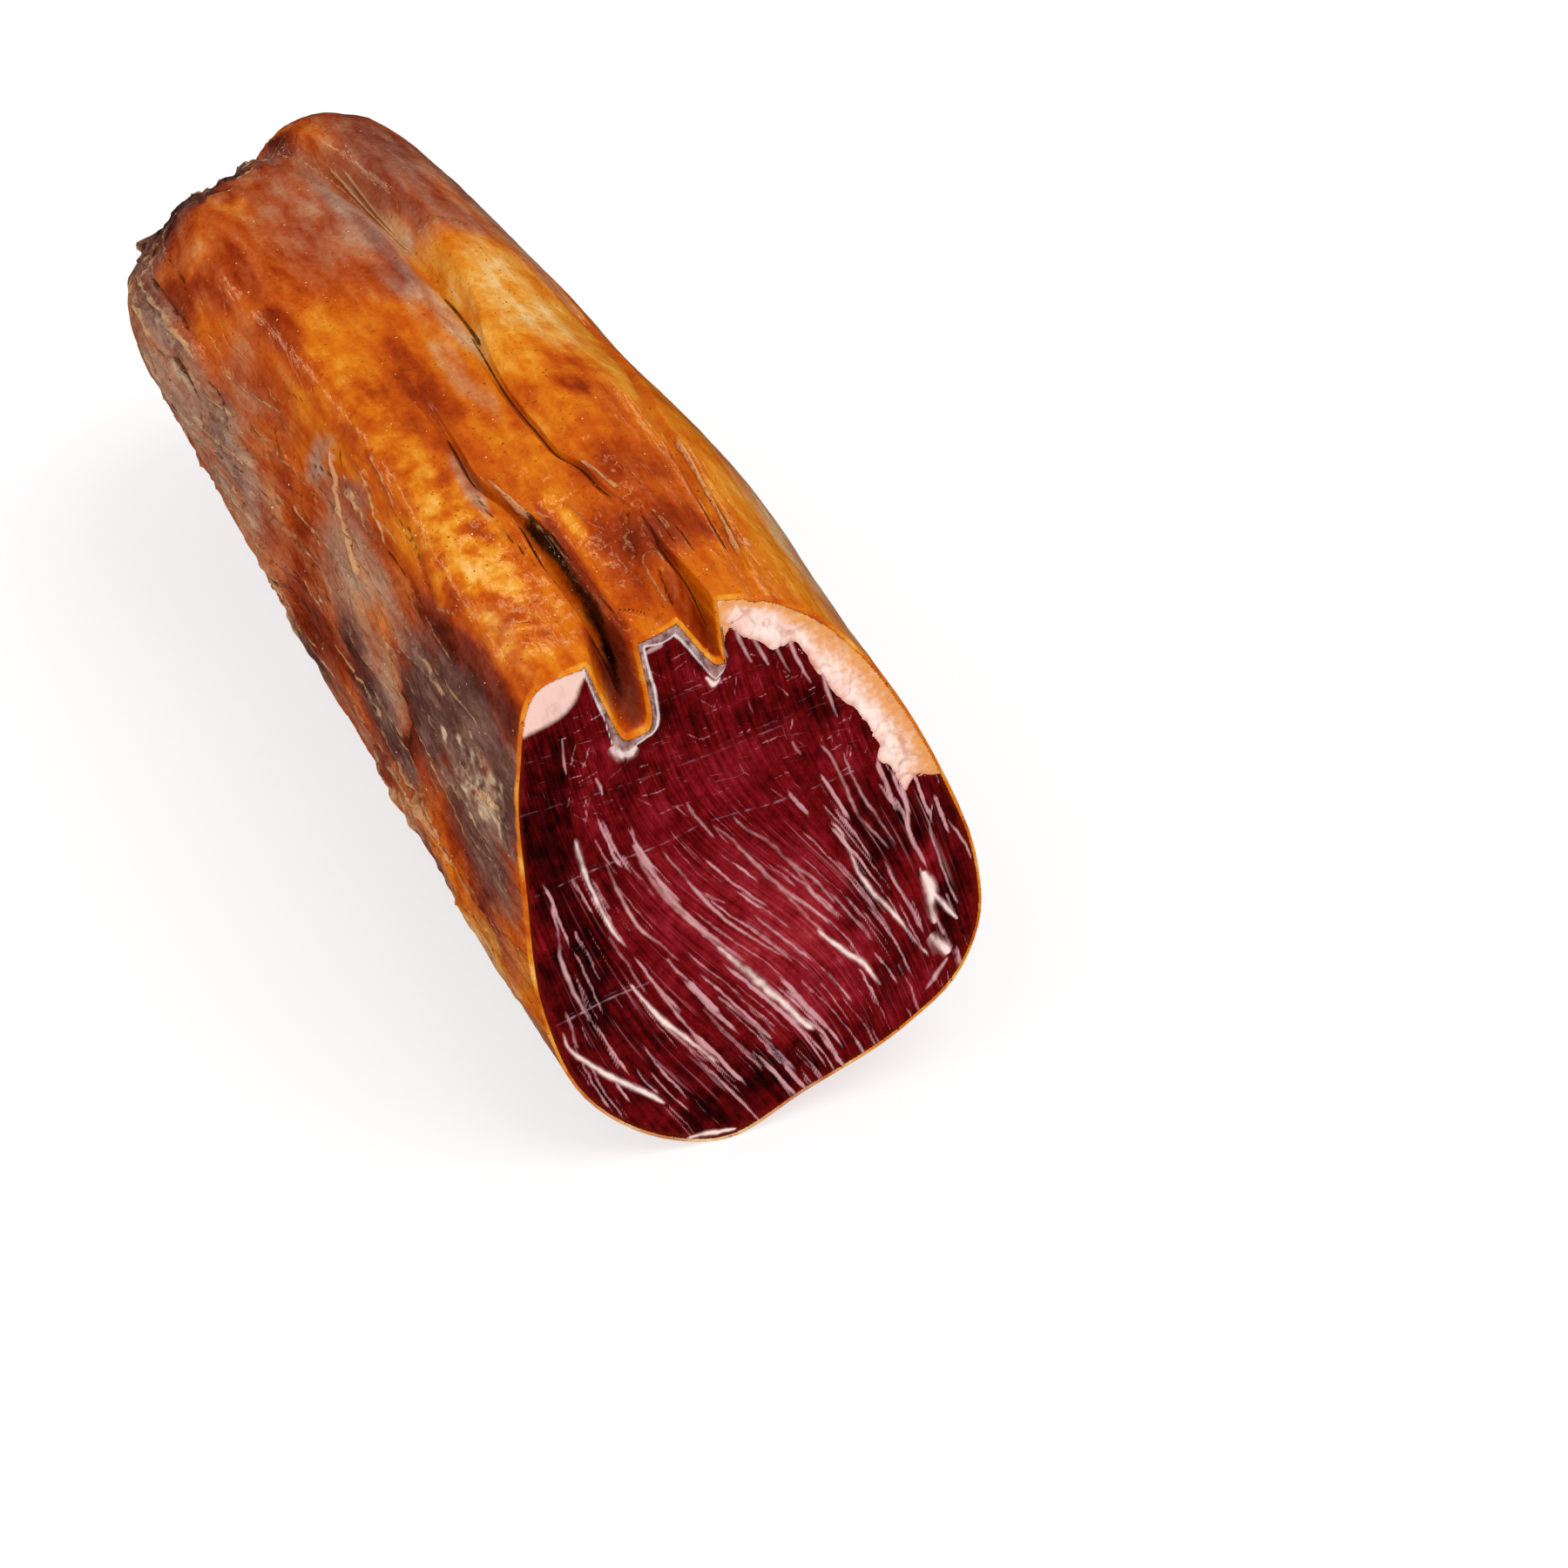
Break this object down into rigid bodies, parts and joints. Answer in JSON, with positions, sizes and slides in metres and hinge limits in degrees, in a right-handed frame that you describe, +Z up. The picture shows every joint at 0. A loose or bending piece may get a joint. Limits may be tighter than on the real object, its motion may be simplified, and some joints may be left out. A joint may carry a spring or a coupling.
{
  "type": "cured iberian pork loin",
  "caption": "Cut piece of dry-cured pork loin in its glossy amber casing, with a slanted marbled cut face, fat along one side and folds along the top.",
  "frame": {"origin": "bottom centre of the whole piece's box, on the surface it rests on", "axes": "+Y along the loin from the slanted cut to the blunt far end, +Z up, +X to the right as seen from the cut"},
  "size_m": [0.0858, 0.2476, 0.088],
  "materials": {
    "cured_loin": "glossy amber and red-brown casing over wet-looking wine-red marbled meat",
    "cured_fat": "waxy translucent pinkish-white fat"
  },
  "bodies": {
    "root": {"loin": "cured_loin", "fat_cap": "cured_fat"}
  },
  "joints": []
}
